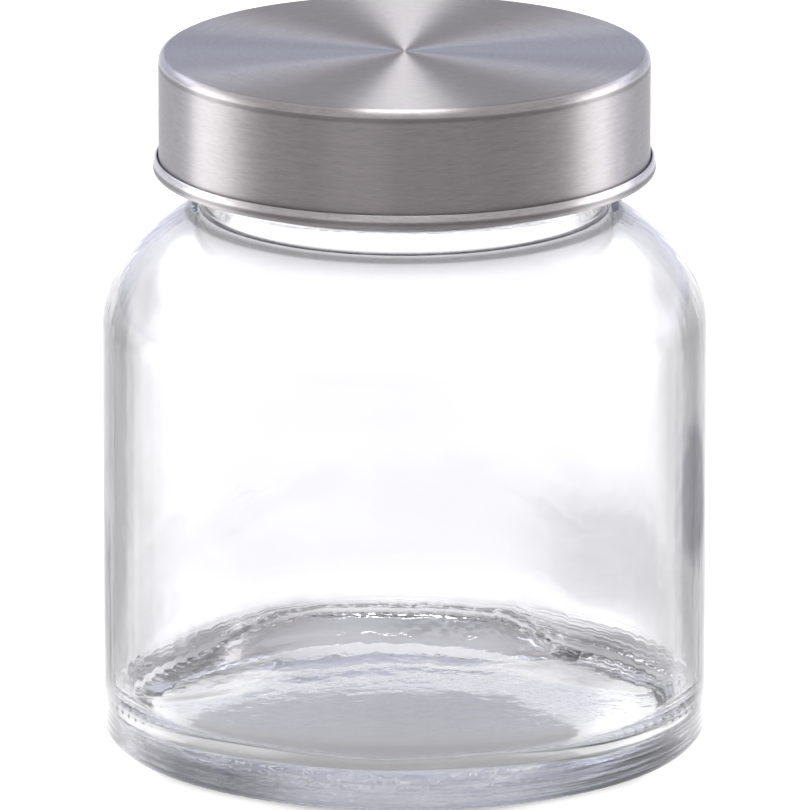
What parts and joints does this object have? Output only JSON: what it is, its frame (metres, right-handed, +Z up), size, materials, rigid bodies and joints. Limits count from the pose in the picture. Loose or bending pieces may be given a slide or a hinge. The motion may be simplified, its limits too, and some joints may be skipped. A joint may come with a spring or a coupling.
{
  "type": "glass storage jar",
  "caption": "Round clear glass storage jar with a threaded neck, closed by a brushed steel screw lid with a white inner cap and a soft seal.",
  "frame": {"origin": "middle of the ring that the jar stands on", "axes": "+Z up along the jar's axis, through the middle of the lid; +X and +Y are level"},
  "size_m": [0.105, 0.105, 0.1217],
  "materials": {
    "glass": "clear, polished",
    "seal": "translucent silicone",
    "cap_plastic": "white moulded",
    "steel": "turned brushing on top, brushing round the skirt"
  },
  "bodies": {
    "jar": {"jar_body": "glass"},
    "seal": {"seal_ring": "seal"},
    "lid": {"inner_cap": "cap_plastic", "lid_shell": "steel"}
  },
  "joints": [
    {"name": "lid_rise", "type": "slide", "parent": "jar", "child": "seal", "axis": [0, 0, 1], "range_m": [0, 0.03]},
    {"name": "lid_turn", "type": "hinge", "parent": "seal", "child": "lid", "pos_m": [0, 0, 0.11], "axis": [0, 0, 1], "range_deg": [0, 540]}
  ],
  "couplings": [
    {"joint": "lid_rise", "follows": "lid_turn", "m_per_rad": 0.003183}
  ]
}
